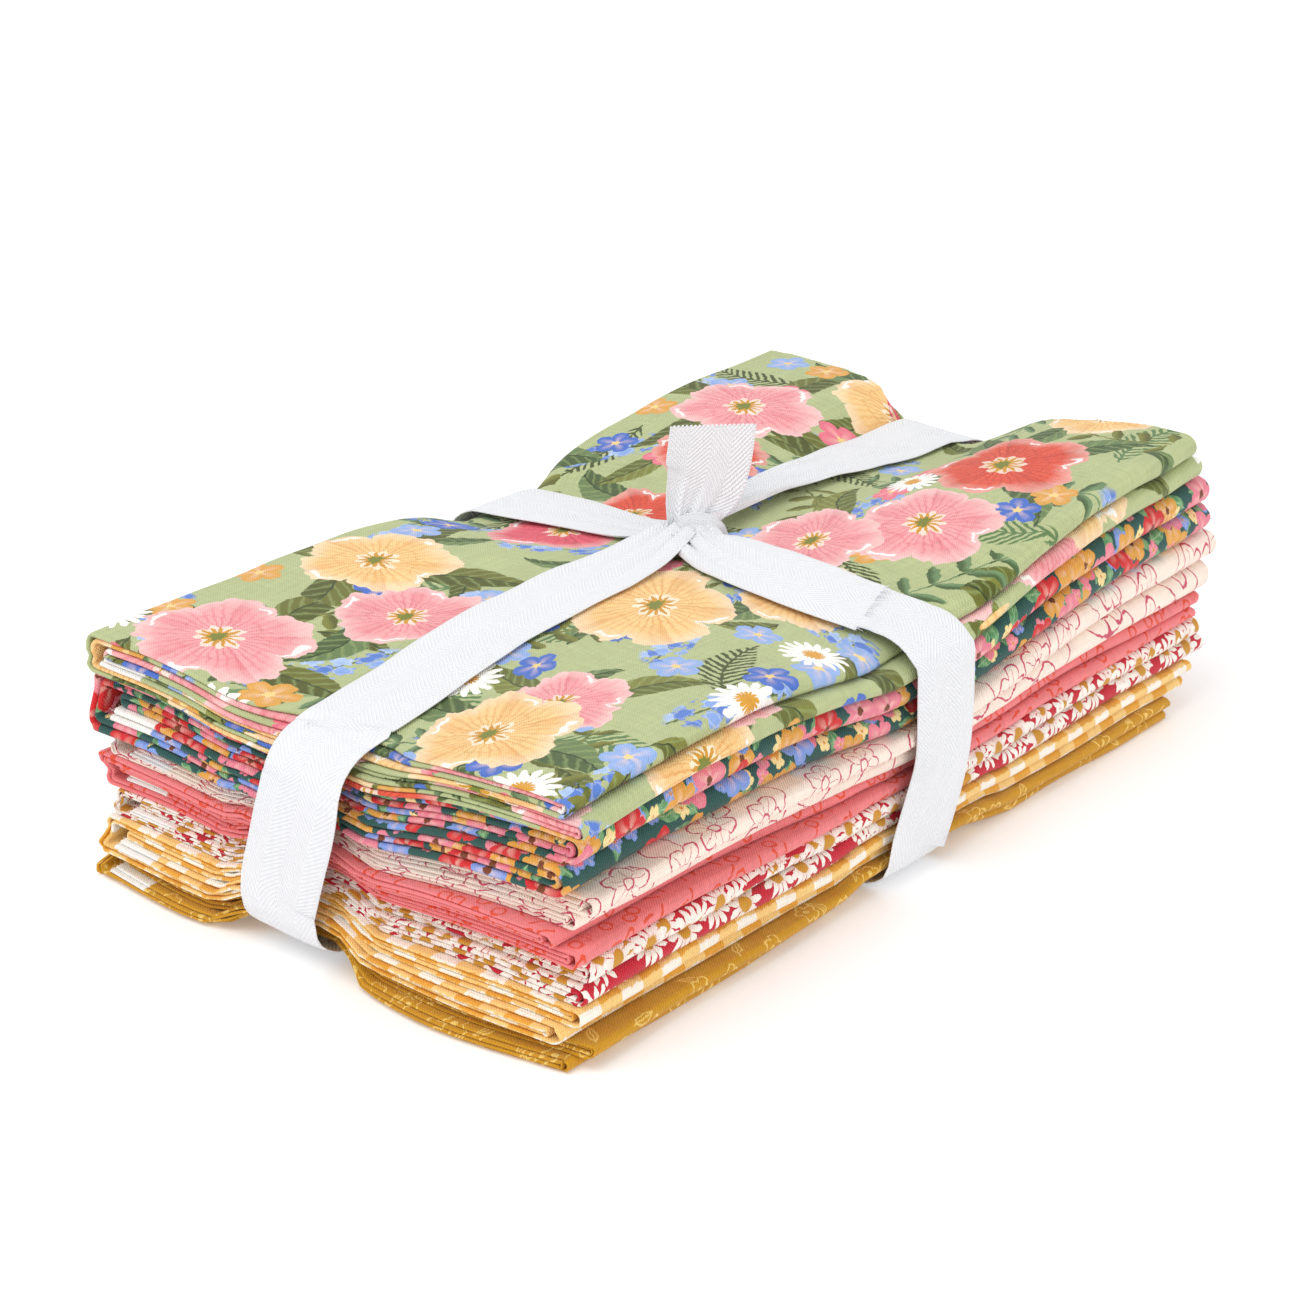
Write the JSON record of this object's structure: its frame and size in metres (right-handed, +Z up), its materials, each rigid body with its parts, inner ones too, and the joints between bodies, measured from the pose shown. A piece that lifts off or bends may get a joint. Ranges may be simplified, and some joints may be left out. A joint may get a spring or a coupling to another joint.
{
  "type": "tied fabric bundle",
  "caption": "Stack of folded quilting cotton cuts in floral, daisy, gingham and sprig prints, tied both ways with a white twill ribbon knotted on top.",
  "frame": {"origin": "middle of the bounding box, on the surface that the bundle rests on", "axes": "+X along the long side, +Y from the folded near side to the spines of the cuts, +Z up"},
  "size_m": [0.2548, 0.1462, 0.0857],
  "materials": {
    "cut_mustard_sprig": "matte",
    "cut_yellow_gingham": "matte",
    "cut_red_daisy": "matte",
    "cut_coral_line": "matte",
    "cut_cream_line": "matte",
    "cut_teal_floral": "matte",
    "cut_sage_floral": "matte",
    "ribbon": "matte"
  },
  "bodies": {
    "root": {"cut_mustard_sprig": "cut_mustard_sprig", "cut_yellow_gingham": "cut_yellow_gingham", "cut_red_daisy": "cut_red_daisy", "cut_coral_line": "cut_coral_line", "cut_cream_line": "cut_cream_line", "cut_teal_floral": "cut_teal_floral", "cut_sage_floral": "cut_sage_floral", "ribbon": "ribbon"}
  },
  "joints": []
}
